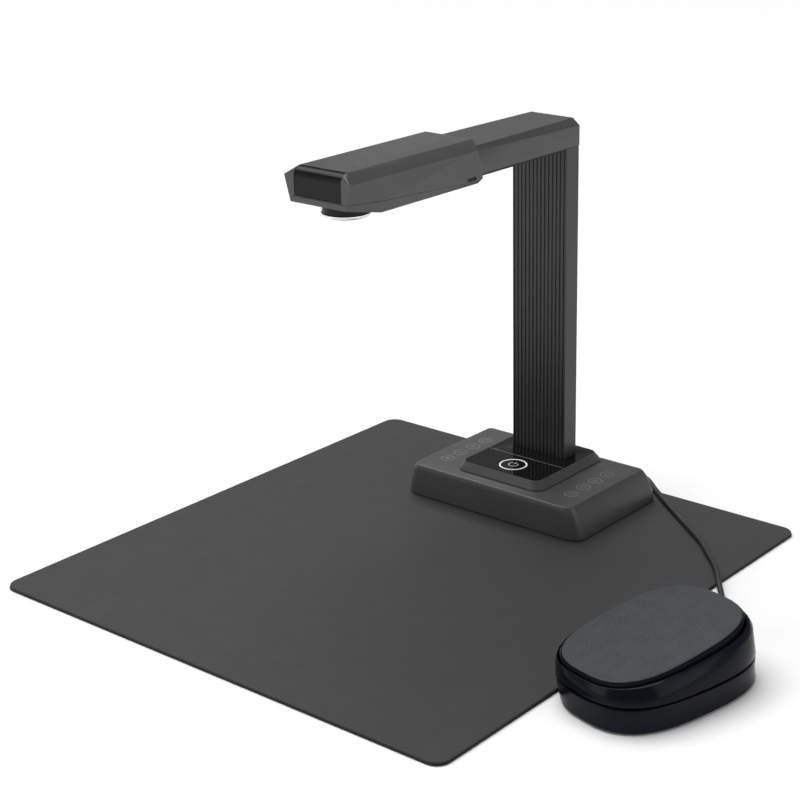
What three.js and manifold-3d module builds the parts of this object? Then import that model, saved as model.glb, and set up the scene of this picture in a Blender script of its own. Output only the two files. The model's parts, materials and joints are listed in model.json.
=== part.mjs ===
// Overhead book scanner: a soft work mat, a weighted base with touch keys, a ribbed column, an arm,
// a camera head that looks down on the mat, and a corded foot pedal.
// Millimetres. X points to the user's right, Y to the back, Z up. The origin is the middle of the
// mat's underside, which lies on the table.
import * as THREE from "three";
import { ConvexGeometry } from "three/addons/geometries/ConvexGeometry.js";
import { mergeVertices } from "three/addons/utils/BufferGeometryUtils.js";
import Module from "manifold-3d";

const wasm = await Module();
wasm.setup();

// Driving dimensions.
const GAP = 0.3; // between pieces that touch
const MAT = { width: 475, depth: 502, corner: 12, layer: 1.6 };
const MAT_TOP = 2 * MAT.layer;
const WALL = 2.6;

const BASE = {
  halfWidth: 99.5,
  front: 108,
  rear: 232.6,
  bottom: MAT_TOP + 0.8,
  top: 34,
  corner: 13,
  cornerTaper: 0.45,
  rearCorner: 4.5,
};
// How far the base's sides, front and back lean in at each height: [height, side, front, back].
const BASE_PROFILE = [
  [12, 1.2, 0, 0.5],
  [22, 4.6, 0, 1.5],
  [28, 6.9, 0, 3],
  [32, 8.8, 0.2, 5],
  [33.6, 10, 0.8, 6.5],
  [34, 11.2, 1.6, 7.6],
];
const PLATE = { bottom: 4.4, top: 6.4 };
const BASE_CORNERS = [
  [-78, 130],
  [78, 130],
  [-78, 210],
  [78, 210],
];
const PORT_Z = 14;
const PORTS = [
  { name: "dc_socket", x: -70, halfWidth: 4.6, halfHeight: 5.4 },
  { name: "usb_socket", x: -48, halfWidth: 6.4, halfHeight: 5.6 },
  { name: "pedal_socket", x: 56, halfWidth: 7.2, halfHeight: 3.5 },
];
const PANEL = { halfWidth: 43, front: 124.7, rear: 218.2, top: 42.4, thick: 2, split: 166 };
const RING = { y: 145.7, outer: 13, inner: 11.7 };
const COLUMN = { halfWidth: 29.6, front: 184.5, rear: 202.4, bottom: 12, top: 333, wall: 2.4 };
const RIBS = { count: 14, depth: 0.9, width: 1.9 };
const ARM = { halfWidth: 30, rear: 202.7, bottom: 333.4, top: 356.8, tongue: 44, wall: 2.2 };
const HEAD = {
  halfTop: 24.5,
  halfSide: 35.5,
  halfBottom: 31.8,
  front: -100.8,
  topFront: -93.3,
  rear: 58.5,
  top: 362.9,
  shoulder: 355.6,
  bottom: 327.2,
  chin: 334.7,
  facetY: -63.4,
  wall: 2.2,
};
const PARTING = { front: -140, frontZ: 341.6, rear: 100, rearZ: 327.5 };
const SIDE_SLOT = { depth: 34, front: 38.5, rear: 50, bottom: 332, top: 334.7 };
const WINDOW = { halfWidth: 24.2, bottom: 340.2 };
const HEAD_SCREWS = [
  [-22, 42],
  [22, 42],
];
const LEDS = [-21, 21];
const ARM_SCREWS = [70, 160];
const LENS = { y: -69.2, barrel: 18.8, ring: 19.6, top: 324.7, bottom: 321.5 };
const PEDAL = {
  x: 291,
  y: -60,
  turn: -0.214,
  halfWidth: 53.2,
  halfLength: 77,
  power: 2.8,
  seam: 20,
  groove: 1.4,
  wall: 2.6,
};
const TREAD = {
  halfWidth: 48.5,
  halfLength: 73,
  height: 45.5,
  slope: 0.115,
  shiftX: -3.4,
  shiftY: -1.2,
  pad: 1.2,
};
const RIM = { height: 40.6, slope: 0.085 };
const RELIEF = { u: -22, v: 74.6, z: 10, turn: 0.3032 };
const SPRING = { turns: 6, radius: 3.6, wire: 0.9, v: 40, bottom: 8.8, top: 33.2 };
const HINGE = { v: -46, z: 24.5 };
const SWITCH_REACH = 27.5;
const CORD_DIAMETER = 5;
const CORD_ROUTE = [
  [56, 245.6, 14],
  [56, 249, 13.9],
  [57.2, 253.4, 13.2],
  [61, 257.4, 11.8],
  [66.5, 259.8, 10],
  [73, 259.2, 8.2],
  [80, 255.4, 6.7],
  [87.6, 249.3, 6.1],
  [95.7, 242.7, 6],
  [118.5, 224.5, 6],
  [143.8, 205.2, 6],
  [165.9, 188.5, 6],
  [185.1, 173.7, 6],
  [203.5, 156, 6],
  [219.2, 140.2, 6],
  [229, 128.6, 6],
  [238, 116.6, 5.8],
  [246.5, 105.6, 4.2],
  [254.5, 95.6, 2.9],
  [263.5, 85.4, 2.7],
  [271.5, 75.6, 3],
  [277.6, 66, 4.6],
  [281, 57, 7.4],
  [282.5, 48.8, 9.6],
  [283.12, 42.45, 10],
];

// Solids. A solid is a manifold-3d body made from three.js geometry, so it can be cut and joined.
function solid(geometry) {
  const plain = geometry.clone();
  plain.deleteAttribute("normal");
  plain.deleteAttribute("uv");
  const merged = mergeVertices(plain, 1e-4);
  return new wasm.Manifold(
    new wasm.Mesh({
      numProp: 3,
      vertProperties: new Float32Array(merged.attributes.position.array),
      triVerts: new Uint32Array(merged.index.array),
    }),
  );
}

function geometryOf(body) {
  const mesh = body.getMesh();
  const geometry = new THREE.BufferGeometry();
  const points = new Float32Array(mesh.numVert * 3);
  for (let i = 0; i < mesh.numVert; i++) {
    points.set(mesh.vertProperties.subarray(i * mesh.numProp, i * mesh.numProp + 3), i * 3);
  }
  geometry.setAttribute("position", new THREE.BufferAttribute(points, 3));
  geometry.setIndex(new THREE.BufferAttribute(new Uint32Array(mesh.triVerts), 1));
  return geometry;
}

const cut = (body, ...tools) => tools.reduce((made, tool) => made.subtract(tool), body);
const join = (body, ...others) => others.reduce((made, other) => made.add(other), body);

function box(x0, x1, y0, y1, z0, z1) {
  const geometry = new THREE.BoxGeometry(x1 - x0, y1 - y0, z1 - z0);
  geometry.translate((x0 + x1) / 2, (y0 + y1) / 2, (z0 + z1) / 2);
  return solid(geometry);
}

// An upright cylinder or cone.
function drum(x, y, z0, z1, radius, topRadius = radius, sides = 32) {
  const geometry = new THREE.CylinderGeometry(topRadius, radius, z1 - z0, sides);
  geometry.rotateX(Math.PI / 2);
  geometry.translate(x, y, (z0 + z1) / 2);
  return solid(geometry);
}

// A cylinder along Y.
function barY(x, z, y0, y1, radius, sides = 24) {
  const geometry = new THREE.CylinderGeometry(radius, radius, y1 - y0, sides);
  geometry.translate(x, (y0 + y1) / 2, z);
  return solid(geometry);
}

const hull = (points) => solid(new ConvexGeometry(points.map((p) => new THREE.Vector3(...p))));

// A closed body through rings of points that all have the same count, capped flat at both ends.
function loft(rings) {
  const count = rings[0].length;
  const points = rings.flat();
  const faces = [];
  for (let level = 0; level + 1 < rings.length; level++) {
    for (let i = 0; i < count; i++) {
      const a = level * count + i;
      const b = level * count + ((i + 1) % count);
      faces.push(a, b, b + count, a, b + count, a + count);
    }
  }
  const last = (rings.length - 1) * count;
  for (let i = 1; i + 1 < count; i++) {
    faces.push(0, i + 1, i);
    faces.push(last, last + i, last + i + 1);
  }
  const geometry = new THREE.BufferGeometry();
  geometry.setAttribute("position", new THREE.Float32BufferAttribute(points.flat(), 3));
  geometry.setIndex(faces);
  return solid(geometry);
}

// A rectangle with round corners, anticlockwise, at one height.
function roundedRing(x0, x1, y0, y1, radius, z, steps = 6, rear = radius) {
  const corners = [
    [x1 - rear, y1 - rear, rear],
    [x0 + rear, y1 - rear, rear],
    [x0 + radius, y0 + radius, radius],
    [x1 - radius, y0 + radius, radius],
  ];
  const ring = [];
  corners.forEach(([cx, cy, bend], quarter) => {
    for (let i = 0; i <= steps; i++) {
      const angle = ((quarter + i / steps) * Math.PI) / 2;
      ring.push([cx + bend * Math.cos(angle), cy + bend * Math.sin(angle), z]);
    }
  });
  return ring;
}

function roundedBox(x0, x1, y0, y1, radius, z0, z1, steps = 6) {
  return loft([
    roundedRing(x0, x1, y0, y1, radius, z0, steps),
    roundedRing(x0, x1, y0, y1, radius, z1, steps),
  ]);
}

// Materials.
const finish = (color, roughness, metalness = 0) =>
  new THREE.MeshStandardMaterial({ color, roughness, metalness });
const MATERIAL = {
  matTop: finish(0x4e4e50, 0.75),
  matBase: finish(0x18181a, 0.85),
  housing: finish(0x454547, 0.5),
  gloss: finish(0x121214, 0.08),
  column: finish(0x2c2c2e, 0.4, 0.7),
  window: finish(0x2a2a2c, 0.25),
  silver: finish(0xe8e8ea, 0.2, 0.9),
  light: finish(0xf4f4f6, 0.4),
  glass: finish(0x0c0d12, 0.03),
  black: finish(0x0e0e10, 0.6),
  rubber: finish(0x1b1b1c, 0.9),
  board: finish(0x1d5a36, 0.5),
  steel: finish(0x9a9b9e, 0.35, 0.9),
  pedal: finish(0x14161c, 0.2),
  pad: finish(0x40434b, 0.8),
};

const scanner = new THREE.Group();

function place(name, body, material, parent = scanner) {
  const mesh = new THREE.Mesh(geometryOf(body), material);
  mesh.name = name;
  parent.add(mesh);
  return mesh;
}

// Mat: a smooth sheet bonded to a grippy layer.
function addMat() {
  const x = MAT.width / 2;
  const y = MAT.depth / 2;
  const layer = (z0, z1, inset) =>
    roundedBox(inset - x, x - inset, inset - y, y - inset, MAT.corner, z0, z1, 8);
  place("mat_base_layer", layer(0, MAT.layer - 0.02, 0), MATERIAL.matBase);
  place("mat_top_sheet", layer(MAT.layer, MAT_TOP, 0.4), MATERIAL.matTop);
}

// Base housing: upright front, and sides and back that lean in towards the flat top.
function baseRing(z, side, front, rear, extra = 0) {
  const x = BASE.halfWidth - side - extra;
  const y0 = BASE.front + front + extra;
  const y1 = BASE.rear - rear - extra;
  const corner = BASE.corner - BASE.cornerTaper * side - extra;
  return roundedRing(-x, x, y0, y1, corner, z, 8, BASE.rearCorner - extra);
}

function baseForm(extra, bottom) {
  const rings = BASE_PROFILE.map(([z, ...lean]) => baseRing(z - extra, ...lean, extra));
  return loft([baseRing(bottom, 0, 0, 0, extra), ...rings]);
}

function addBaseHousing() {
  const c = COLUMN;
  const columnHole = box(-c.halfWidth - 1, c.halfWidth + 1, c.front - 1, c.rear + 1, 25, 40);
  const portHoles = PORTS.map((p) =>
    box(
      p.x - p.halfWidth - GAP,
      p.x + p.halfWidth + GAP,
      BASE.rear - 8,
      BASE.rear + 4,
      PORT_Z - p.halfHeight - GAP,
      PORT_Z + p.halfHeight + GAP,
    ),
  );
  const shell = cut(baseForm(0, BASE.bottom), baseForm(WALL, BASE.bottom - 2), columnHole);
  place("base_housing", cut(shell, ...portHoles), MATERIAL.housing);
}

function addBaseFloor() {
  const edge = WALL + 0.9;
  const outline = (z) => baseRing(z, 0, 0, 0, edge);
  const screwHoles = BASE_CORNERS.map(([x, y]) => drum(x * 0.9, y, 3, 8, 1.9));
  place(
    "base_bottom_plate",
    cut(loft([outline(PLATE.bottom), outline(PLATE.top)]), ...screwHoles),
    MATERIAL.steel,
  );
  BASE_CORNERS.forEach(([x, y], i) => {
    place(`base_foot_${i + 1}`, drum(x, y + 6, MAT_TOP + 0.02, 4.38, 6.5), MATERIAL.rubber);
    const head = drum(x * 0.9, y, 3.6, 4.36, 3.1, 3.1, 16);
    const shank = drum(x * 0.9, y, 4.3, 10, 1.6, 1.6, 12);
    place(`base_screw_${i + 1}`, join(head, shank), MATERIAL.steel);
  });
  const ballastHoles = BASE_CORNERS.map(([x, y]) => drum(x * 0.9, y, 3, 20, 2.2));
  const ballast = cut(box(-86, 86, 114, 164, 6.7, 12.5), ...ballastHoles);
  place("ballast_plate", ballast, MATERIAL.steel);
}

// A stamped foot that holds the column upright and bolts to the bottom plate.
function addColumnFoot() {
  const c = COLUMN;
  const middle = (c.front + c.rear) / 2;
  const flange = box(-36, 36, c.front - 8, c.rear + 6, 6.7, 11.7);
  const prongs = [-1, 1].map((side) =>
    box(side * 19.5 - 5.5, side * 19.5 + 5.5, middle - 5.4, middle + 5.4, 11.6, 70),
  );
  place("column_foot_bracket", join(flange, ...prongs), MATERIAL.steel);
}

function addBoards() {
  const outline = new THREE.Shape();
  outline.moveTo(-90, 172);
  outline.lineTo(-40, 172);
  outline.lineTo(-40, 212);
  outline.lineTo(84, 212);
  outline.lineTo(84, 226);
  outline.lineTo(-90, 226);
  const geometry = new THREE.ExtrudeGeometry(outline, { depth: 1.2, bevelEnabled: false });
  geometry.translate(0, 0, 7.1);
  const screwHoles = BASE_CORNERS.map(([x, y]) => drum(x * 0.9, y, 3, 20, 2.4));
  const chips = [box(-80, -66, 186, 200, 8.2, 9.8), box(-58, -50, 182, 192, 8.2, 9.4)];
  place("main_board", join(cut(solid(geometry), ...screwHoles), ...chips), MATERIAL.board);
  for (const [side, name] of [[-1, "left"], [1, "right"]]) {
    const x = side * 71;
    const board = roundedBox(x - 13, x + 13, 128, 206, 3, 29.4, 31, 3);
    place(`touch_board_${name}`, board, MATERIAL.board);
  }
}

// Sockets stand on the main board and open through the back wall.
function addSockets() {
  const back = BASE.rear - 0.6;
  const body = (p, depth) =>
    box(
      p.x - p.halfWidth,
      p.x + p.halfWidth,
      back - depth,
      back,
      PORT_Z - p.halfHeight,
      PORT_Z + p.halfHeight,
    );
  const [dc, usb, pedal] = PORTS;
  const barrel = cut(body(dc, 12), barY(dc.x, PORT_Z, back - 10, back + 1, 3.3));
  place(dc.name, join(barrel, barY(dc.x, PORT_Z, back - 11, back - 1, 0.9, 12)), MATERIAL.black);
  const mouth = box(usb.x - 4.4, usb.x + 4.4, back - 10, back + 1, PORT_Z - 4, PORT_Z + 4);
  const tongue = box(usb.x - 2.8, usb.x + 2.8, back - 11, back - 1.5, PORT_Z - 1.4, PORT_Z + 1.4);
  place(usb.name, join(cut(body(usb, 14), mouth), tongue), MATERIAL.steel);
  const slot = box(pedal.x - 6.4, pedal.x + 6.4, back - 13, back + 1, PORT_Z - 2.6, PORT_Z + 2.6);
  place(pedal.name, cut(body(pedal, 15), slot), MATERIAL.steel);
}

// Raised bezel with its two gloss panels and the power key's light ring.
function addPlatform() {
  const p = PANEL;
  const low = BASE.top + 0.05;
  const outer = (z, inset) =>
    roundedRing(
      inset - 48,
      48 - inset,
      120.4 + inset * 0.9,
      224 - inset * 1.2,
      10 - inset * 0.3,
      z,
      6,
    );
  const form = loft([outer(low, 0), outer(35.4, 0), outer(42.1, 3.9), outer(42.7, 4.4)]);
  const ledge = p.top - p.thick - 0.05;
  const x = p.halfWidth;
  const pocket = roundedBox(-x, x, p.front, p.rear, 7, ledge, 50, 6);
  const well = roundedBox(4 - x, x - 4, p.front + 4, p.rear - 4, 6, 30, 50, 6);
  place("platform_bezel", cut(form, pocket, well), MATERIAL.housing);

  const e = GAP;
  const plate = roundedBox(e - x, x - e, p.front + e, p.rear - e, 6.8, ledge + 0.05, p.top, 6);
  const frontHalf = box(-60, 60, p.split - 0.35, 260, 30, 60);
  const rearHalf = box(-60, 60, 100, p.split + 0.35, 30, 60);
  const groove = cut(
    drum(0, RING.y, p.top - 0.9, p.top + 1, RING.outer + 0.25, undefined, 40),
    drum(0, RING.y, p.top - 2, p.top + 2, RING.inner - 0.25, undefined, 40),
  );
  place("power_panel", cut(plate, frontHalf, groove), MATERIAL.gloss);
  const c = COLUMN;
  const hole = box(-c.halfWidth - e, c.halfWidth + e, c.front - e, c.rear + e, 30, 60);
  place("rear_gloss_panel", cut(plate, rearHalf, hole), MATERIAL.gloss);
  const ring = cut(
    drum(0, RING.y, p.top - 0.8, p.top + 0.05, RING.outer, undefined, 40),
    drum(0, RING.y, p.top - 2, p.top + 2, RING.inner, undefined, 40),
  );
  place("power_ring_light", ring, MATERIAL.light);
}

// Column: a hollow extrusion with upright ribs on its front face.
function addColumn() {
  const c = COLUMN;
  const outline = new THREE.Shape();
  const pitch = (2 * c.halfWidth) / RIBS.count;
  outline.moveTo(-c.halfWidth, c.front);
  for (let i = 0; i < RIBS.count; i++) {
    const x = -c.halfWidth + (i + 0.5) * pitch;
    const half = (pitch - RIBS.width) / 2;
    outline.lineTo(x - half, c.front);
    outline.lineTo(x - half + 0.35, c.front + RIBS.depth);
    outline.lineTo(x + half - 0.35, c.front + RIBS.depth);
    outline.lineTo(x + half, c.front);
  }
  outline.lineTo(c.halfWidth, c.front);
  outline.lineTo(c.halfWidth, c.rear);
  outline.lineTo(-c.halfWidth, c.rear);
  const hollow = new THREE.Path();
  const x = c.halfWidth - c.wall;
  const front = c.front + RIBS.depth + c.wall - 0.4;
  hollow.moveTo(-x, front);
  hollow.lineTo(-x, c.rear - c.wall);
  hollow.lineTo(x, c.rear - c.wall);
  hollow.lineTo(x, front);
  outline.holes.push(hollow);
  const geometry = new THREE.ExtrudeGeometry(outline, {
    depth: c.top - c.bottom,
    bevelEnabled: false,
  });
  geometry.translate(0, 0, c.bottom);
  place("column_extrusion", solid(geometry), MATERIAL.column);
}

// Arm: a shell with leaning shoulders whose sides fold inwards as they reach the head.
function armRing(y, halfTop, edgeX, edgeZ, foldZ, inset = 0) {
  const top = ARM.top - inset;
  const right = [
    [halfTop - inset * 0.6, top],
    [edgeX - inset, edgeZ - inset * 0.4],
    [ARM.halfWidth - inset, foldZ],
    [ARM.halfWidth - inset, ARM.bottom - (inset ? 5 : 0)],
  ];
  const left = right.map(([x, z]) => [-x, z]).reverse();
  return [...right, ...left].map(([x, z]) => [x, y, z]);
}

function armForm(inset) {
  return loft([
    armRing(ARM.tongue + inset, 25.8, 27.4, 353, 341, inset),
    armRing(ARM.tongue + 14, 25.8, 27.6, 353, 341, inset),
    armRing(147, 24.2, 30, 351.6, 351, inset),
    armRing(ARM.rear - inset, 22.6, 30, 350.8, 345, inset),
  ]);
}

function addArm() {
  const harnessHole = barY(0, 344.6, ARM.tongue - 2, ARM.tongue + 8, 3, 16);
  place("arm_shell", cut(armForm(0), armForm(ARM.wall), harnessHole), MATERIAL.housing);
  const holes = ARM_SCREWS.map((y) => drum(0, y, 325, 340, 1.9));
  const x = ARM.halfWidth - ARM.wall - GAP;
  const lip = box(-x, x, ARM.tongue + ARM.wall + GAP, COLUMN.front - GAP, ARM.bottom, 335.4);
  const skin = box(0.3 - 30, 29.7, HEAD.rear + GAP, COLUMN.front - GAP, 331.7, ARM.bottom - 0.1);
  const joint = box(-x, x, HEAD.rear + GAP, COLUMN.front - GAP, 333, 334);
  place("arm_bottom_cover", cut(join(skin, joint, lip), ...holes), MATERIAL.black);
  ARM_SCREWS.forEach((y, i) => {
    const head = drum(0, y, 331.2, 331.65, 3.1, 3.1, 16);
    const shank = drum(0, y, 331.6, 338, 1.6, 1.6, 12);
    place(`arm_screw_${i + 1}`, join(head, shank), MATERIAL.steel);
  });
}

// A cast elbow inside the column's top and the arm's back end ties the two together.
function addArmBracket() {
  const c = COLUMN;
  const middle = (c.front + c.rear) / 2 + 0.2;
  const legs = [-1, 1].map((side) =>
    box(side * 19.5 - 5.5, side * 19.5 + 5.5, middle - 5.2, middle + 5.2, 285, 347.5),
  );
  const bridge = box(-25, 25, middle - 5.2, middle + 5.2, 347.4, 351);
  const rails = [-1, 1].map((side) =>
    box(side * 18 - 3.5, side * 18 + 3.5, 100, middle + 5.2, 347.5, 351),
  );
  place("arm_bracket", join(bridge, ...legs, ...rails), MATERIAL.steel);
}

// Head outline: a faceted body. Inset makes the hollow inside it.
function headForm(inset) {
  const h = HEAD;
  const roll = h.topFront - h.front;
  const points = [];
  for (const side of [-1, 1]) {
    const add = (x, y, z) => points.push([side * (x - inset), y, z]);
    add(h.halfTop + 0.5, h.rear - inset, h.top - inset);
    for (let i = 0; i <= 4; i++) {
      const angle = (i / 4) * (Math.PI / 2);
      const y = h.topFront - roll * Math.sin(angle) + inset;
      add(h.halfTop, y, h.top - roll + roll * Math.cos(angle) - inset);
    }
    add(h.halfSide - 1, h.front + inset, h.shoulder - inset * 0.6);
    add(h.halfSide, h.rear - 6.3, h.shoulder - inset * 0.6);
    add(h.halfSide, h.rear - inset, 342.7);
    add(h.halfSide, h.rear - inset, 331.6);
    add(h.halfSide, h.facetY, 337.7);
    add(h.halfBottom, h.rear - 1.8 - inset, h.bottom + inset);
    add(h.halfBottom, h.facetY, h.bottom + inset);
    add(h.halfBottom - 3, h.front + inset, h.chin + inset);
  }
  return hull(points);
}

// The shells meet on a plane that drops towards the back.
function partingBlock(lift, above) {
  const line = [
    [PARTING.front, PARTING.frontZ + lift],
    [PARTING.rear, PARTING.rearZ + lift],
  ];
  const far = above ? 400 : 300;
  return hull(
    [-60, 60].flatMap((x) => [
      ...line.map(([y, z]) => [x, y, z]),
      ...line.map(([y]) => [x, y, far]),
    ]),
  );
}

function addHeadShells() {
  const h = HEAD;
  const shell = cut(headForm(0), headForm(h.wall));
  const armHole = join(
    armForm(-0.4),
    box(-28, 28, ARM.tongue, 80, 331.4, ARM.bottom + 1),
  );
  const w = WINDOW.halfWidth + GAP;
  const windowHole = box(-w, w, h.front - 5, h.topFront + 0.5, WINDOW.bottom - GAP, 400);
  const s = SIDE_SLOT;
  const slotHole = box(s.depth, 40, s.front, s.rear, s.bottom, s.top);
  const upper = cut(shell, partingBlock(0.15, false), armHole, windowHole, slotHole);
  place("head_upper_shell", upper, MATERIAL.housing);

  const lensHole = drum(0, LENS.y, 320, 340, LENS.barrel + 0.4, undefined, 40);
  const screwHoles = HEAD_SCREWS.map(([x, y]) => drum(x, y, 320, 340, 1.9));
  const ledHoles = LEDS.map((x) => box(x - 4.4, x + 4.4, -36.4, 26.4, 320, 340));
  const lower = cut(
    shell,
    partingBlock(-0.15, true),
    armHole,
    lensHole,
    ...screwHoles,
    ...ledHoles,
  );
  place("head_lower_shell", lower, MATERIAL.housing);

  const wi = WINDOW.halfWidth;
  const zone = box(-wi, wi, h.front - 5, h.topFront + 0.2, WINDOW.bottom, 400);
  const pane = headForm(0.25).intersect(zone);
  place("front_window", cut(pane, headForm(1.9)), MATERIAL.window);
  const insert = box(
    s.depth + GAP,
    s.depth + 0.7,
    s.front + GAP,
    s.rear - GAP,
    s.bottom + GAP,
    s.top - GAP,
  );
  place("side_slot_insert", insert, MATERIAL.black);
}

// Lens, its sensor board and the two reading lights in the head's underside.
function addHeadInsides() {
  const y = LENS.y;
  const profile = [
    [0, 335.5],
    [LENS.barrel, 335.5],
    [LENS.barrel, LENS.top + 0.1],
    [15.2, LENS.top + 0.1],
    [13.4, LENS.top + 4.6],
    [0, LENS.top + 4.6],
  ].map(([x, z]) => new THREE.Vector2(x, z));
  const barrel = new THREE.LatheGeometry(profile.reverse(), 48);
  barrel.rotateX(Math.PI / 2);
  barrel.translate(0, y, 0);
  place("lens_barrel", solid(barrel), MATERIAL.black);
  const trim = cut(
    join(
      drum(0, y, LENS.top - 1.5, LENS.top, LENS.ring, undefined, 40),
      drum(0, y, LENS.bottom, LENS.top - 1.4, LENS.ring - 1.1, undefined, 40),
    ),
    drum(0, y, LENS.bottom - 2, LENS.top + 2, 15.4, undefined, 40),
  );
  place("lens_trim_ring", trim, MATERIAL.silver);
  const dome = new THREE.LatheGeometry(
    [
      [0, LENS.top + 0.6],
      [6, LENS.top + 1.1],
      [11, LENS.top + 2.3],
      [13, LENS.top + 3.6],
      [12.6, LENS.top + 4.4],
      [0, LENS.top + 4.4],
    ].map(([x, z]) => new THREE.Vector2(x, z)),
    32,
  );
  dome.rotateX(Math.PI / 2);
  dome.translate(0, y, 0);
  place("lens_glass", solid(dome), MATERIAL.glass);
  place("sensor_board", box(-20, 20, y - 17, y + 19, 336, 337.6), MATERIAL.board);
  LEDS.forEach((x, i) => {
    const bar = box(x - 4.1, x + 4.1, -36.1, 26.1, 327.4, 330.6);
    place(`reading_light_${i + 1}`, bar, MATERIAL.light);
  });
  HEAD_SCREWS.forEach(([x, sy], i) => {
    const head = drum(x, sy, 326.7, 327.15, 3.1, 3.1, 16);
    place(`head_screw_${i + 1}`, join(head, drum(x, sy, 327.1, 331.6, 1.6, 1.6, 12)), MATERIAL.steel);
  });
}

// The harness runs from the main board up the column and along the arm to the sensor board.
function tube(route, diameter, steps, sides) {
  const section = new THREE.Shape();
  for (let i = 0; i < sides; i++) {
    const angle = (i / sides) * 2 * Math.PI;
    const x = (diameter / 2) * Math.cos(angle);
    const y = (diameter / 2) * Math.sin(angle);
    if (i) section.lineTo(x, y);
    else section.moveTo(x, y);
  }
  const path = new THREE.CatmullRomCurve3(route.map((p) => new THREE.Vector3(...p)));
  return solid(
    new THREE.ExtrudeGeometry(section, { steps, bevelEnabled: false, extrudePath: path }),
  );
}

function addHarness() {
  const x = 0;
  const y = (COLUMN.front + COLUMN.rear) / 2 + 0.4;
  const route = [
    [x, y, 14],
    [x, y, 120],
    [x, y, 220],
    [x, y, 312],
    [x, y - 1.4, 328],
    [x, y - 8, 339.4],
    [x, y - 20, 343.8],
    [x, 140, 344.6],
    [x, 70, 344.6],
    [x, 10, 344.6],
    [x, -30, 343.6],
    [x, LENS.y + 10, 340.4],
  ];
  place("wiring_harness", tube(route, 4, 44, 8), MATERIAL.rubber);
}

// Foot pedal, built in its own frame: X across, Y along the foot, Z up, then turned into place.
const pedal = new THREE.Group();
pedal.position.set(PEDAL.x, PEDAL.y, 0);
pedal.rotation.z = PEDAL.turn;
scanner.add(pedal);

const SIDES = 44;
function ovalRing(halfWidth, halfLength, power, height, shiftX = 0, shiftY = 0) {
  const ring = [];
  for (let i = 0; i < SIDES; i++) {
    const angle = (i / SIDES) * 2 * Math.PI;
    const bend = (value) => Math.sign(value) * Math.abs(value) ** (2 / power);
    const x = halfWidth * bend(Math.cos(angle)) + shiftX;
    const y = halfLength * bend(Math.sin(angle)) + shiftY;
    ring.push([x, y, typeof height === "number" ? height : height(y)]);
  }
  return ring;
}

const bodyRing = (inset, height, lean = 0, reach = 0) =>
  ovalRing(PEDAL.halfWidth - inset, PEDAL.halfLength - inset + reach, PEDAL.power, height, lean);
const rimHeight = (lift) => (y) => RIM.height + lift + RIM.slope * y;
const treadHeight = (drop) => (y) => TREAD.height - drop + TREAD.slope * y;
const treadRing = (inset, height) => {
  const t = TREAD;
  return ovalRing(t.halfWidth - inset, t.halfLength - inset, 2.9, height, t.shiftX, t.shiftY);
};
const PEDAL_FEET = [
  [-27, -50],
  [30, -50],
  [-27, 50],
  [30, 50],
];

function addPedalCase() {
  const p = PEDAL;
  const tray = loft([
    bodyRing(1.6, 1.2, 3.6, 1.8),
    bodyRing(1, 2.4, 3.5, 2.2),
    bodyRing(0.4, 6, 2.4, 1.8),
    bodyRing(-0.6, 11.5, 1, 0.7),
    bodyRing(-1.8, p.seam - 0.8),
    bodyRing(-1.2, p.seam),
  ]);
  const cavity = loft([
    bodyRing(p.wall + 3, 3.8, 3.2),
    bodyRing(p.wall + 1, 10, 1.2),
    bodyRing(p.wall - 0.6, 30),
  ]);
  const cordHole = reliefPlaced(barY(0, 0, -14, 14, 3.3));
  const posts = [-1, 1].map((side) => {
    const x = TREAD.shiftX + side * 33.8;
    return box(x - 3.3, x + 3.3, HINGE.v - 3, HINGE.v + 3, 3, HINGE.z + 3);
  });
  const pinSeats = join(...posts).subtract(pinBar(30, 40, 1.9)).subtract(pinBar(-40, -30, 1.9));
  const switchSeat = box(-9, 9, HINGE.v + 21, HINGE.v + 34, 3, 9);
  const springSeat = drum(0, SPRING.v, 3, 8, 5.2);
  place(
    "pedal_base",
    join(cut(tray, cavity, cordHole), pinSeats, switchSeat, springSeat),
    MATERIAL.pedal,
    pedal,
  );

  const low = p.seam + p.groove;
  const cover = loft([
    bodyRing(-1.2, low),
    bodyRing(-1.9, low + 0.8),
    bodyRing(-1.7, 27, -0.6),
    bodyRing(-0.6, rimHeight(-4), -2.2),
    bodyRing(0.9, rimHeight(-0.8), -3),
    bodyRing(2.6, rimHeight(0), -3.3),
    bodyRing(9, rimHeight(0.3), -3.4),
  ]);
  const hollow = loft([
    bodyRing(p.wall - 1.2, low - 2),
    bodyRing(p.wall - 0.6, 27, -0.6),
    bodyRing(p.wall + 1, rimHeight(-6), -1.8),
    bodyRing(8, rimHeight(-2.6), -3),
  ]);
  const mouth = loft([treadRing(-1.7, low - 3), treadRing(-1.7, 70)]);
  place("pedal_housing", cut(cover, hollow, mouth), MATERIAL.pedal, pedal);
  PEDAL_FEET.forEach(([x, y], i) => {
    place(`pedal_foot_${i + 1}`, drum(x, y, 0, 1.15, 7), MATERIAL.rubber, pedal);
  });
}

function pinBar(x0, x1, radius) {
  const geometry = new THREE.CylinderGeometry(radius, radius, x1 - x0, 16);
  geometry.rotateZ(Math.PI / 2);
  geometry.translate((x0 + x1) / 2 + TREAD.shiftX, HINGE.v, HINGE.z);
  return solid(geometry);
}

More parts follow.
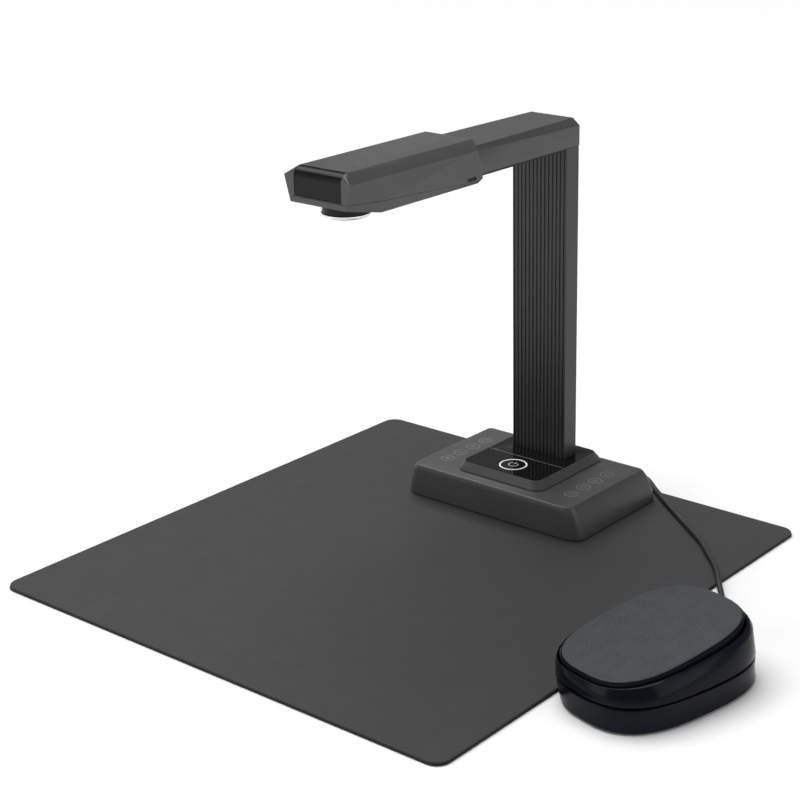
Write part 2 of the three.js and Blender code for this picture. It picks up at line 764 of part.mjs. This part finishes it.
// The tread is a wedge-shaped cap on a pin under its low front edge.
function addTread() {
  const top = TREAD.pad + 0.05;
  const cap = loft([
    treadRing(0, 25),
    treadRing(0, treadHeight(top + 0.8)),
    treadRing(0.8, treadHeight(top)),
  ]);
  const hollow = loft([treadRing(2.4, 20), treadRing(2.4, treadHeight(top + 2.6))]);
  const knuckles = [-1, 1].map((side) => {
    const x = TREAD.shiftX + side * 24;
    return box(x - 5, x + 5, HINGE.v - 3.4, HINGE.v + 3.4, HINGE.z - 3.4, 44);
  });
  const inside = loft([treadRing(2.3, 20), treadRing(2.3, treadHeight(top + 1))]);
  const pusher = box(-3, 3, HINGE.v + SWITCH_REACH - 3, HINGE.v + SWITCH_REACH + 3, 21.6, 44);
  const springCup = drum(0, SPRING.v, 34, 55, 5.2);
  const inner = join(pusher, springCup, ...knuckles).intersect(inside);
  const pinHole = pinBar(-60, 60, 1.9);
  place("pedal_tread", join(cut(cap, hollow), cut(inner, pinHole)), MATERIAL.pedal, pedal);
  const pad = loft([
    treadRing(1.6, treadHeight(TREAD.pad)),
    treadRing(1.4, treadHeight(0.5)),
    treadRing(2.2, treadHeight(0)),
  ]);
  place("pedal_tread_pad", pad, MATERIAL.pad, pedal);
  place("pedal_hinge_pin", pinBar(-37.6, 37.6, 1.6), MATERIAL.steel, pedal);
}

function addPedalSwitch() {
  const v = HINGE.v + SWITCH_REACH;
  const body = box(-7, 7, v - 5, v + 5, 9.3, 18.4);
  place("microswitch_body", cut(body, drum(0, v, 15, 20, 1.8, 1.8, 16)), MATERIAL.black, pedal);
  place("switch_plunger", drum(0, v, 16.9, 21.3, 1.4, 1.4, 16), MATERIAL.light, pedal);
  const s = SPRING;
  const helix = [];
  const count = s.turns * 12;
  for (let i = 0; i <= count; i++) {
    const angle = (i / 12) * 2 * Math.PI;
    const rise = s.bottom + s.wire / 2 + ((s.top - s.bottom - s.wire) * i) / count;
    helix.push([s.radius * Math.cos(angle), s.v + s.radius * Math.sin(angle), rise]);
  }
  place("pedal_spring", tube(helix, s.wire, count, 6), MATERIAL.steel, pedal);
}

// A turned or bored solid along Y, moved to where the cord enters the pedal.
const reliefPlaced = (body) =>
  body.rotate([0, 0, (RELIEF.turn * 180) / Math.PI]).translate([RELIEF.u, RELIEF.v, RELIEF.z]);

function addStrainRelief() {
  const profile = [
    [0, 1.6],
    [4.2, 1.6],
    [4.2, 6.2],
    [3.9, 7.8],
    [3.1, 22.4],
    [2.8, 24.6],
    [0, 24.6],
  ].map(([x, y]) => new THREE.Vector2(x, y));
  const boot = join(solid(new THREE.LatheGeometry(profile, 20)), barY(0, 0, -3, 1.7, 2.7));
  place("pedal_strain_relief", reliefPlaced(boot), MATERIAL.rubber, pedal);
}

// The cord from the back of the base to the back of the pedal, with its plug.
function addCord() {
  place("pedal_cord", tube(CORD_ROUTE, CORD_DIAMETER, 60, 8), MATERIAL.rubber);
  const p = PORTS[2];
  const grip = roundedBoxY(p.x, PORT_Z, BASE.rear + 0.3, 242, 7.6, 4.4, 2.4);
  const boot = new THREE.CylinderGeometry(2.9, 3.9, 3.4, 20);
  boot.translate(p.x, 243.6, PORT_Z);
  const shell = box(p.x - 6, p.x + 6, BASE.rear - 12, BASE.rear + 1, PORT_Z - 2.2, PORT_Z + 2.2);
  place("pedal_plug", join(grip, solid(boot), shell), MATERIAL.black);
}

function roundedBoxY(x, z, y0, y1, halfWidth, halfHeight, radius) {
  const ring = (y) =>
    roundedRing(-halfWidth, halfWidth, -halfHeight, halfHeight, radius, 0, 4).map(([a, b]) => [
      x + a,
      y,
      z - b,
    ]);
  return loft([ring(y0), ring(y1)]);
}

addMat();
addBaseHousing();
addBaseFloor();
addColumnFoot();
addBoards();
addSockets();
addPlatform();
addColumn();
addArm();
addArmBracket();
addHeadShells();
addHeadInsides();
addHarness();
addPedalCase();
addTread();
addPedalSwitch();
addStrainRelief();
addCord();

export default scanner;
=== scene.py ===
"""Looks of the overhead book scanner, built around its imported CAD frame."""
import json
import math

import bmesh
import bpy
from mathutils import Matrix, Vector


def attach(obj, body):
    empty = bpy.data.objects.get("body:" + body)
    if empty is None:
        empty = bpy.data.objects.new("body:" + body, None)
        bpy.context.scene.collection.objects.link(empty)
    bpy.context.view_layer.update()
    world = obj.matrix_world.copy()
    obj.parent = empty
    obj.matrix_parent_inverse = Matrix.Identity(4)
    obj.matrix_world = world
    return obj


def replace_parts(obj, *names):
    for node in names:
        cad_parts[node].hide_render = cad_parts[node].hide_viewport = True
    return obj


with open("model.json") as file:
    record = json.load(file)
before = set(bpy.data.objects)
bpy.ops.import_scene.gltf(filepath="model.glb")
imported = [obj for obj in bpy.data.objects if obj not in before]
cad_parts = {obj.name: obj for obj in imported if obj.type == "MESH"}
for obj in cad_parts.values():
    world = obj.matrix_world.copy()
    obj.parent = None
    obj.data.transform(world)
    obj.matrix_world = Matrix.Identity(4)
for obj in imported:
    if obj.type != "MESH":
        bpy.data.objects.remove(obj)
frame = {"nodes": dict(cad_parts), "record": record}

MM = 0.001
NODES = frame["nodes"]
BODIES = frame["record"]["behaviour"]["bodies"]
BODY_OF = {node: body for body, nodes in BODIES.items() for node in nodes}
SLOT_OF = {row["node"]: row["material_slot"] for row in frame["record"]["subparts"]}
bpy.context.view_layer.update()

# Places on the object, in millimetres.
BASE_TOP = 34.0
PANEL_TOP = 42.4
PANEL_SPLIT_Y = 166
POWER_KEY_Y = 145.7
LENS_Y = -69.2
PEDAL_TURN = -0.214

# The camera looks from the object's front right and a little above: metres, degrees and, for the
# lens and its sensor, millimetres.
CAMERA_AT = (0.95435, -1.10738, 0.68043)
CAMERA_YAW, CAMERA_PITCH, CAMERA_ROLL = 38.387, 20.056, -0.446
CAMERA_LENS = 83.27
CAMERA_SHIFT = -0.1
SENSOR_WIDTH = 36


def add_object(name, data):
    made = bpy.data.objects.new(name, data)
    bpy.context.scene.collection.objects.link(made)
    return made


def add_camera():
    data = bpy.data.cameras.new("camera")
    data.lens = CAMERA_LENS
    data.sensor_width = SENSOR_WIDTH
    data.shift_x = CAMERA_SHIFT
    camera = add_object("camera", data)
    turn = Matrix.Rotation(math.radians(CAMERA_YAW), 4, "Z")
    tilt = Matrix.Rotation(math.radians(90 - CAMERA_PITCH), 4, "X")
    roll = Matrix.Rotation(math.radians(CAMERA_ROLL), 4, "Z")
    camera.matrix_world = Matrix.Translation(CAMERA_AT) @ turn @ tilt @ roll
    bpy.context.scene.camera = camera


# The cord's route in millimetres, from the plug's tail behind the base to the pedal's strain relief,
# and its thickness in metres.
CORD_ROUTE = [
    (56, 245.6, 14), (56, 249, 13.9), (57.2, 253.4, 13.2), (61, 257.4, 11.8),
    (66.5, 259.8, 10), (73, 259.2, 8.2), (80, 255.4, 6.7), (87.6, 249.3, 6.1),
    (95.7, 242.7, 6), (118.5, 224.5, 6), (143.8, 205.2, 6), (165.9, 188.5, 6),
    (185.1, 173.7, 6), (203.5, 156, 6), (219.2, 140.2, 6), (229, 128.6, 6),
    (238, 116.6, 5.8), (246.5, 105.6, 4.2), (254.5, 95.6, 2.9), (263.5, 85.4, 2.7),
    (271.5, 75.6, 3), (277.6, 66, 4.6), (281, 57, 7.4), (282.5, 48.8, 9.6),
    (283.12, 42.45, 10),
]
CORD_DIAMETER = 0.005


# Colours, as sRGB grey or (r, g, b) levels from 0 to 255.
def linear(level):
    share = level / 255
    return share / 12.92 if share <= 0.04045 else ((share + 0.055) / 1.055) ** 2.4


def colour(levels):
    r, g, b = levels if isinstance(levels, tuple) else (levels,) * 3
    return (linear(r), linear(g), linear(b), 1.0)


NOISE_ROUGHNESS = 0.55
NOISE_SPAN = (0.3, 0.7)


class Nodes:
    """A material's node tree with short calls for making and joining nodes."""

    def __init__(self, name):
        self.material = bpy.data.materials.new(name)
        self.material.use_nodes = True
        self.tree = self.material.node_tree
        self.shader = self.tree.nodes["Principled BSDF"]
        coords = self.new("ShaderNodeTexCoord")
        self.place = coords.outputs["Object"]

    def new(self, kind, **values):
        node = self.tree.nodes.new(kind)
        for key, value in values.items():
            setattr(node, key, value)
        return node

    def join(self, source, target):
        self.tree.links.new(source, target)

    def mapped(self, scale=(1, 1, 1), turn=0.0):
        node = self.new("ShaderNodeMapping")
        node.inputs["Scale"].default_value = scale
        node.inputs["Rotation"].default_value = (0, 0, turn)
        self.join(self.place, node.inputs["Vector"])
        return node.outputs["Vector"]

    def noise(self, scale, detail=3.0, vector=None):
        node = self.new("ShaderNodeTexNoise")
        node.inputs["Scale"].default_value = scale
        node.inputs["Detail"].default_value = detail
        node.inputs["Roughness"].default_value = NOISE_ROUGHNESS
        self.join(vector or self.place, node.inputs["Vector"])
        return node.outputs["Fac"]

    def ramp(self, value, low, high, start=0.35, end=0.65):
        node = self.new("ShaderNodeValToRGB")
        first, last = node.color_ramp.elements
        first.position, last.position = start, end
        first.color, last.color = low, high
        self.join(value, node.inputs["Fac"])
        return node.outputs["Color"]

    def ranged(self, value, low, high):
        node = self.new("ShaderNodeMapRange")
        node.inputs["From Min"].default_value, node.inputs["From Max"].default_value = NOISE_SPAN
        node.inputs["To Min"].default_value = low
        node.inputs["To Max"].default_value = high
        self.join(value, node.inputs["Value"])
        return node.outputs["Result"]

    def bump(self, height, strength, distance, under=None):
        node = self.new("ShaderNodeBump")
        node.inputs["Strength"].default_value = strength
        node.inputs["Distance"].default_value = distance
        self.join(height, node.inputs["Height"])
        if under is not None:
            self.join(under, node.inputs["Normal"])
        return node.outputs["Normal"]

    def set(self, **values):
        for key, value in values.items():
            self.shader.inputs[key.replace("_", " ")].default_value = value


def moulded(name, dark, light, rough, grain=2600, depth=0.00004, strength=0.25, **sockets):
    """Moulded plastic, rubber or coating: cloudy tone, uneven gloss and a fine spark-eroded grain."""
    m = Nodes(name)
    m.join(m.ramp(m.noise(28, 4), colour(dark), colour(light)), m.shader.inputs["Base Color"])
    m.join(m.ranged(m.noise(60, 3), *rough), m.shader.inputs["Roughness"])
    m.join(m.bump(m.noise(grain, 2), strength, depth), m.shader.inputs["Normal"])
    m.set(**sockets)
    return m.material


def brushed(name, dark, light, rough, stretch, metallic=1.0):
    """Metal with fine lines along one axis."""
    m = Nodes(name)
    lines = m.noise(1, 3, m.mapped(stretch))
    m.join(m.ramp(lines, colour(dark), colour(light)), m.shader.inputs["Base Color"])
    m.join(m.ranged(lines, *rough), m.shader.inputs["Roughness"])
    m.join(m.bump(lines, 0.15, 0.00003), m.shader.inputs["Normal"])
    m.set(Metallic=metallic)
    return m.material


def circuit(name):
    """Green solder mask with copper tracks under it."""
    m = Nodes(name)
    tracks = m.new("ShaderNodeTexBrick")
    tracks.inputs["Scale"].default_value = 180
    tracks.inputs["Mortar Size"].default_value = 0.03
    tracks.inputs["Color1"].default_value = colour((22, 92, 50))
    tracks.inputs["Color2"].default_value = colour((18, 80, 44))
    tracks.inputs["Mortar"].default_value = colour((52, 130, 76))
    m.join(m.place, tracks.inputs["Vector"])
    m.join(tracks.outputs["Color"], m.shader.inputs["Base Color"])
    m.join(m.ranged(m.noise(90), 0.35, 0.5), m.shader.inputs["Roughness"])
    return m.material


TREAD_PITCH = 5.2 * MM
TREAD_WEAVE_TURN = 38


def tread_pattern(name):
    """Bluish grey pad with a fine basket of short raised bars, with painted shade in the hollows and
    painted light on the bars.
    """
    m = Nodes(name)
    flat = m.mapped((1 / TREAD_PITCH,) * 3, math.radians(TREAD_WEAVE_TURN) - PEDAL_TURN)
    checks = m.new("ShaderNodeTexChecker")
    checks.inputs["Scale"].default_value = 0.5
    m.join(flat, checks.inputs["Vector"])
    heights = []
    for direction in ("X", "Y"):
        bars = m.new("ShaderNodeTexWave", bands_direction=direction, wave_profile="SIN")
        bars.inputs["Scale"].default_value = 0.95
        bars.inputs["Distortion"].default_value = 0.4
        m.join(flat, bars.inputs["Vector"])
        heights.append(bars.outputs["Fac"])
    mix = m.new("ShaderNodeMix", data_type="FLOAT")
    m.join(checks.outputs["Fac"], mix.inputs["Factor"])
    m.join(heights[0], mix.inputs["A"])
    m.join(heights[1], mix.inputs["B"])
    height = mix.outputs["Result"]
    # The colour follows the bars' height: darker in the hollows as painted shade, lighter on the
    # raised bars as painted light.
    tone = m.ramp(height, colour((38, 40, 44)), colour((54, 57, 63)), 0.1, 0.9)
    m.join(tone, m.shader.inputs["Base Color"])
    m.join(m.ranged(m.noise(80), 0.55, 0.68), m.shader.inputs["Roughness"])
    grain = m.bump(m.noise(2200, 2), 0.2, 0.00004)
    m.join(m.bump(height, 0.4, 0.0003, grain), m.shader.inputs["Normal"])
    return m.material


def frosted(name, level, glow):
    """Milky light-guide plastic with a faint glow."""
    m = Nodes(name)
    cloud = m.ramp(m.noise(70), colour(level - 8), colour(level))
    m.join(cloud, m.shader.inputs["Base Color"])
    m.join(m.ranged(m.noise(120), 0.35, 0.5), m.shader.inputs["Roughness"])
    m.set(Emission_Color=(1.0, 1.0, 1.0, 1.0), Emission_Strength=glow)
    return m.material


def lens_coating(name):
    """Dark glass with a violet antireflection coating."""
    m = Nodes(name)
    tint = m.ramp(m.noise(40, 2), colour((12, 14, 30)), colour((26, 18, 36)))
    m.join(tint, m.shader.inputs["Base Color"])
    m.join(m.ranged(m.noise(200), 0.02, 0.05), m.shader.inputs["Roughness"])
    m.set(IOR=1.6, Coat_Weight=1.0, Coat_Roughness=0.02)
    return m.material


MATERIALS = {
    "mat_sheet": moulded(
        "mat_sheet", 52, 54, (0.56, 0.62), 1500, 0.00006, 0.3, Specular_IOR_Level=0.35
    ),
    "mat_grip": moulded("mat_grip", 20, 28, (0.7, 0.85), 900, 0.0001, 0.4),
    "housing": moulded("housing", 70, 73, (0.36, 0.42), Specular_IOR_Level=0.42),
    "gloss_panel": moulded("gloss_panel", 14, 17, (0.03, 0.05), 60, 0.00001, 0.03),
    "column_metal": brushed("column_metal", 54, 64, (0.34, 0.44), (900, 900, 9), 0.45),
    "window": moulded(
        "window", 18, 22, (0.22, 0.28), 1800, 0.00002, 0.1, Specular_IOR_Level=0.18
    ),
    "black_plastic": moulded("black_plastic", 10, 16, (0.4, 0.55), Specular_IOR_Level=0.25),
    "lens_ring": brushed("lens_ring", 226, 240, (0.28, 0.36), (300, 300, 2600)),
    "lens_glass": lens_coating("lens_glass"),
    "light_plastic": frosted("light_plastic", 236, 0.25),
    "circuit_board": circuit("circuit_board"),
    "steel": brushed("steel", 150, 180, (0.25, 0.4), (1400, 90, 90)),
    "rubber": moulded("rubber", 24, 32, (0.65, 0.8), 1200, 0.00008, 0.35),
    "pedal_shell": moulded(
        "pedal_shell",
        (15, 17, 23),
        (19, 21, 28),
        (0.13, 0.18),
        2600,
        0.00002,
        0.1,
        Specular_IOR_Level=0.09,
    ),
    "pedal_pad": tread_pattern("pedal_pad"),
    "cord_jacket": moulded("cord_jacket", 26, 34, (0.42, 0.55), 1600, 0.00004, 0.2),
}
# Grey ink for the touch icons; it also colours the light strip between the gloss panels, which is a
# painted highlight.
INK_AND_SEAM_HIGHLIGHT = moulded("ink_and_seam_highlight", 138, 150, (0.45, 0.55), 900, 0.00001, 0.05)
WHITE_INK = moulded("white_ink", 205, 222, (0.35, 0.45), 900, 0.00001, 0.05)


# Angles in degrees, the merging distance in millimetres.
EDGE_ANGLE = 24
SHARP_ANGLE = 30
FLAT_ANGLE = 0.4
MERGE_DISTANCE = 0.002
EDGE_SEGMENTS = 3
LATHE_SIDES = 96


def new_piece(name, mesh, slot, body, material=None):
    piece = add_object(name, mesh)
    mesh.materials.clear()
    mesh.materials.append(material or MATERIALS[slot])
    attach(piece, body)
    return piece


def to_mesh(form, name):
    mesh = bpy.data.meshes.new(name)
    form.to_mesh(mesh)
    form.free()
    return mesh


def smooth(mesh):
    for polygon in mesh.polygons:
        polygon.use_smooth = True
    mesh.set_sharp_from_angle(angle=math.radians(SHARP_ANGLE))


def add_bevel(piece, width):
    bevel = piece.modifiers.new("bevel", "BEVEL")
    bevel.width = width * MM
    bevel.segments = EDGE_SEGMENTS
    bevel.limit_method = "ANGLE"
    bevel.angle_limit = math.radians(EDGE_ANGLE)
    bevel.harden_normals = True
    bevel.miter_outer = "MITER_ARC"


def soften(node, width):
    """Stand a copy of a CAD node in its place, with its flat faces merged and its edges rounded."""
    form = bmesh.new()
    form.from_mesh(NODES[node].data)
    bmesh.ops.remove_doubles(form, verts=form.verts, dist=MERGE_DISTANCE * MM)
    flat = math.radians(FLAT_ANGLE)
    bmesh.ops.dissolve_limit(form, angle_limit=flat, verts=form.verts, edges=form.edges)
    mesh = to_mesh(form, node + ".form")
    smooth(mesh)
    piece = new_piece(node + ".finished", mesh, SLOT_OF[node], BODY_OF[node])
    add_bevel(piece, width)
    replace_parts(piece, node)


def lathe(node, profile, y_centre):
    """Stand a turned piece in a CAD node's place, from a profile of (radius, height) points.

    Its axis is upright on the scanner's middle plane. A profile that starts off the axis is closed.
    """
    form = bmesh.new()
    rings = []
    for radius, height in profile:
        ring = []
        for i in range(1 if radius == 0 else LATHE_SIDES):
            angle = i * 2 * math.pi / LATHE_SIDES
            x = radius * math.cos(angle)
            y = y_centre + radius * math.sin(angle)
            ring.append(form.verts.new((x * MM, y * MM, height * MM)))
        rings.append(ring)
    for low, high in zip(rings, rings[1:] + ([] if profile[0][0] == 0 else rings[:1])):
        for i in range(LATHE_SIDES):
            j = (i + 1) % LATHE_SIDES
            corners = []
            for ring, at in ((low, i), (low, j), (high, j), (high, i)):
                vertex = ring[at % len(ring)]
                if vertex not in corners:
                    corners.append(vertex)
            if len(corners) > 2:
                form.faces.new(corners)
    bmesh.ops.recalc_face_normals(form, faces=form.faces)
    name = node + ".finished"
    mesh = to_mesh(form, name)
    smooth(mesh)
    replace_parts(new_piece(name, mesh, SLOT_OF[node], BODY_OF[node]), node)


def inlay(name, strokes, heights, slot, material):
    """Printed or inlaid marks, and the painted highlight between the gloss panels: a stroke is a list
    of (x, y) points, a width and whether it closes.
    """
    low, high = heights
    form = bmesh.new()
    for points, width, closed in strokes:
        count = len(points)
        sections = []
        for i, point in enumerate(points):
            before = points[i - 1] if closed or i else points[i]
            after = points[(i + 1) % count] if closed or i + 1 < count else points[i]
            along = Vector((after[0] - before[0], after[1] - before[1])).normalized()
            side = Vector((-along.y, along.x)) * width / 2
            section = []
            for sign, height in ((-1, low), (1, low), (1, high), (-1, high)):
                at = Vector(point) + side * sign
                section.append(form.verts.new((at.x * MM, at.y * MM, height * MM)))
            sections.append(section)
        for a, b in zip(sections, sections[1:] + (sections[:1] if closed else [])):
            for k in range(4):
                form.faces.new((a[k], a[(k + 1) % 4], b[(k + 1) % 4], b[k]))
        if not closed:
            form.faces.new(sections[0])
            form.faces.new(list(reversed(sections[-1])))
    bmesh.ops.recalc_face_normals(form, faces=form.faces)
    new_piece(name, to_mesh(form, name), slot, "scanner", material)


def arc(x, y, radius, start=0.0, end=360.0, steps=40):
    """Points along an arc, in degrees. A full circle doesn't repeat its first point."""
    count = steps if end - start >= 360 else steps + 1
    points = []
    for i in range(count):
        angle = math.radians(start) + math.radians(end - start) * i / steps
        points.append((x + radius * math.cos(angle), y + radius * math.sin(angle)))
    return points


# Touch keys: plain rings with simple marks, four on each side of the column's foot. Each mark's lines
# are given from its ring's middle, with whether each line closes.
ICON_RADIUS = 6.2
ICON_COLUMN_X = 71.0
ICON_ROWS = (137.5, 156.5, 175.5, 194.5)
ICON_LINE = 0.5
ICON_KINDS = {
    "touch_icons_left": (-1, ("lines", "minus", "plus", "turn")),
    "touch_icons_right": (1, ("sheet", "play", "lamp", "tick")),
}
ICON_MARKS = {
    "plus": [([(-2.6, 0), (2.6, 0)], False), ([(0, -2.6), (0, 2.6)], False)],
    "minus": [([(-2.6, 0), (2.6, 0)], False)],
    "sheet": [([(-2.4, -3), (2.4, -3), (2.4, 3), (-2.4, 3)], True)],
    "turn": [(arc(0, 0, 2.8, 40, 320, 20), False), ([(2.1, 1.8), (3.2, 0.6)], False)],
    "tick": [([(-2.6, 0), (-0.6, -2), (2.8, 2.2)], False)],
    "play": [([(-1.8, -2.6), (2.8, 0), (-1.8, 2.6)], True)],
    "lamp": [(arc(0, 0, 1.7), True), ([(0, 2.6), (0, 3.6)], False), ([(0, -3.6), (0, -2.6)], False)],
    "lines": [([(-2.6, y), (2.6, y)], False) for y in (1.6, 0, -1.6)],
}
INK_HEIGHTS = (-0.1, 0.04)
POWER_HEIGHTS = (-0.1, 0.03)
SEAM_HEIGHTS = (-0.9, -0.08)
SEAM_HALF_LENGTH = 42.4


def over(top, heights):
    return tuple(top + height for height in heights)


def add_touch_icons():
    for name, (side, kinds) in ICON_KINDS.items():
        x = side * ICON_COLUMN_X
        strokes = []
        for y, kind in zip(ICON_ROWS, kinds):
            strokes.append((arc(x, y, ICON_RADIUS), ICON_LINE, True))
            for points, closed in ICON_MARKS[kind]:
                strokes.append(([(x + a, y + b) for a, b in points], ICON_LINE, closed))
        inlay(name, strokes, over(BASE_TOP, INK_HEIGHTS), "housing", INK_AND_SEAM_HIGHLIGHT)


def add_panel_marks():
    """The power key's open ring and stroke, and a light strip in the gap between the two gloss panels
    that is a painted highlight of their edges.
    """
    y = POWER_KEY_Y
    power = [
        (arc(0, y, 4.4, 125, 415, 30), 0.7, False),
        ([(0, y + 1.4), (0, y + 5.6)], 0.7, False),
    ]
    inlay("power_mark", power, over(PANEL_TOP, POWER_HEIGHTS), "gloss_panel", WHITE_INK)
    # A light grey strip sunk in the gap between the panels: a painted highlight standing in for the
    # light on their edges.
    ends = [(-SEAM_HALF_LENGTH, PANEL_SPLIT_Y), (SEAM_HALF_LENGTH, PANEL_SPLIT_Y)]
    highlight_strokes = [(ends, 0.45, False)]
    inlay("panel_seam_painted_highlight", highlight_strokes, over(PANEL_TOP, SEAM_HEIGHTS), "gloss_panel", INK_AND_SEAM_HIGHLIGHT)


def add_lens():
    """A barrel with stepped light baffles, a bright trim ring and a coated glass."""
    barrel = [
        (0, 335.5), (18.8, 335.5), (18.8, 325.2), (18.4, 324.8), (16.6, 324.8), (16.4, 325.6),
        (15.6, 325.6), (15.4, 326.6), (14.7, 326.6), (14.5, 327.8), (13.8, 327.8), (13.4, 329.3),
        (0, 329.3),
    ]
    ring = [
        (15.5, 324.7), (15.5, 322.1), (15.9, 321.5), (17.2, 321.5), (17.5, 321.8), (18.2, 321.9),
        (18.5, 322.3), (18.6, 323.1), (19.3, 323.25), (19.6, 323.5), (19.6, 324.4), (19.3, 324.7),
    ]
    glass = [
        (0, 325.3), (3, 325.36), (6, 325.7), (9, 326.5), (11.4, 327.5), (13, 328.4),
        (12.8, 329.1), (0, 329.1),
    ]
    lathe("lens_barrel", barrel, LENS_Y)
    lathe("lens_trim_ring", ring, LENS_Y)
    lathe("lens_glass", glass, LENS_Y)


def add_ring_light():
    section = [
        (11.7, -0.8), (11.7, -0.1), (11.85, 0.04), (12.85, 0.04), (13, -0.1), (13, -0.8),
    ]
    lathe("power_ring_light", [(r, PANEL_TOP + z) for r, z in section], POWER_KEY_Y)


def add_cord():
    data = bpy.data.curves.new("cord", "CURVE")
    data.dimensions = "3D"
    data.bevel_depth = CORD_DIAMETER / 2
    data.bevel_resolution = 5
    data.resolution_u = 10
    data.use_fill_caps = True
    spline = data.splines.new("BEZIER")
    spline.bezier_points.add(len(CORD_ROUTE) - 1)
    for point, at in zip(spline.bezier_points, CORD_ROUTE):
        point.co = Vector(at) * MM
        point.handle_left_type = point.handle_right_type = "AUTO"
    cord = add_object("cord", data)
    data.materials.append(MATERIALS["cord_jacket"])
    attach(cord, "scanner")
    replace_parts(cord, "pedal_cord")


# Edge rounding of the CAD nodes that show, in millimetres.
ROUNDED = {
    "mat_top_sheet": 0.5,
    "mat_base_layer": 0.3,
    "base_housing": 0.7,
    "platform_bezel": 0.5,
    "power_panel": 0.25,
    "rear_gloss_panel": 0.25,
    "column_extrusion": 0.14,
    "arm_shell": 0.7,
    "arm_bottom_cover": 0.3,
    "head_upper_shell": 0.7,
    "head_lower_shell": 0.5,
    "front_window": 0.4,
    "pedal_base": 0.4,
    "pedal_housing": 0.5,
    "pedal_tread": 0.4,
    "pedal_tread_pad": 0.3,
}


FLOOR_HALF = 30.0
FLOOR_DROP = 0.0002


def add_stage():
    floor = bpy.data.meshes.new("floor")
    signs = ((-1, -1), (1, -1), (1, 1), (-1, 1))
    floor.from_pydata([(a * FLOOR_HALF, b * FLOOR_HALF, 0) for a, b in signs], [], [(0, 1, 2, 3)])
    piece = add_object("floor", floor)
    piece.location.z = -FLOOR_DROP
    floor.materials.append(moulded("floor", 252, 254, (0.8, 0.9), 900, 0.0001, 0.03))


def add_panel(name, at, target, size, power):
    """A square studio light that faces its target."""
    data = bpy.data.lights.new(name, "AREA")
    data.shape = "RECTANGLE"
    data.size = data.size_y = size
    data.energy = power
    light = add_object(name, data)
    light.location = at
    light.rotation_mode = "QUATERNION"
    light.rotation_quaternion = (Vector(target) - Vector(at)).to_track_quat("-Z", "Y")


# The surroundings' brightness by height, from the horizon at 0 to straight up at 1.
WORLD_ENDS = ((0.0, 0.5), (1.0, 0.3))
WORLD_BETWEEN = ((0.2, 0.34), (0.45, 0.12))


def add_world():
    """A studio's surroundings: pale at the horizon, dim higher up."""
    world = bpy.data.worlds.new("studio")
    bpy.context.scene.world = world
    world.use_nodes = True
    tree = world.node_tree
    coords = tree.nodes.new("ShaderNodeTexCoord")
    split = tree.nodes.new("ShaderNodeSeparateXYZ")
    shade = tree.nodes.new("ShaderNodeValToRGB")
    elements = shade.color_ramp.elements
    for element, (height, level) in zip(elements, WORLD_ENDS):
        element.position = height
        element.color = (level, level, level, 1)
    for height, level in WORLD_BETWEEN:
        elements.new(height).color = (level, level, level, 1)
    tree.links.new(coords.outputs["Generated"], split.inputs["Vector"])
    tree.links.new(split.outputs["Z"], shade.inputs["Fac"])
    tree.links.new(shade.outputs["Color"], tree.nodes["Background"].inputs["Color"])


def add_lights():
    """A wide overhead light from the left, a weak panel at the right and a weaker fill in front."""
    sky = bpy.data.lights.new("overhead", "SUN")
    sky.energy = 2.7
    sky.angle = math.radians(60)
    light = add_object("overhead", sky)
    light.rotation_euler = (math.radians(-4), math.radians(-24), 0)
    add_panel("right_panel", (3.2, 0.4, 1.2), (0.1, 0.1, 0.2), 2.0, 18)
    add_panel("front_fill", (-1.0, -2.4, 1.0), (0.0, 0.0, 0.1), 1.4, 12)


bpy.context.scene.view_settings.view_transform = "Standard"
add_camera()
add_cord()
for node_name, edge in ROUNDED.items():
    soften(node_name, edge)
add_lens()
add_ring_light()
add_touch_icons()
add_panel_marks()
for node_name, node in NODES.items():
    node.data.materials.clear()
    node.data.materials.append(MATERIALS[SLOT_OF[node_name]])
add_stage()
add_world()
add_lights()

bpy.context.view_layer.update()
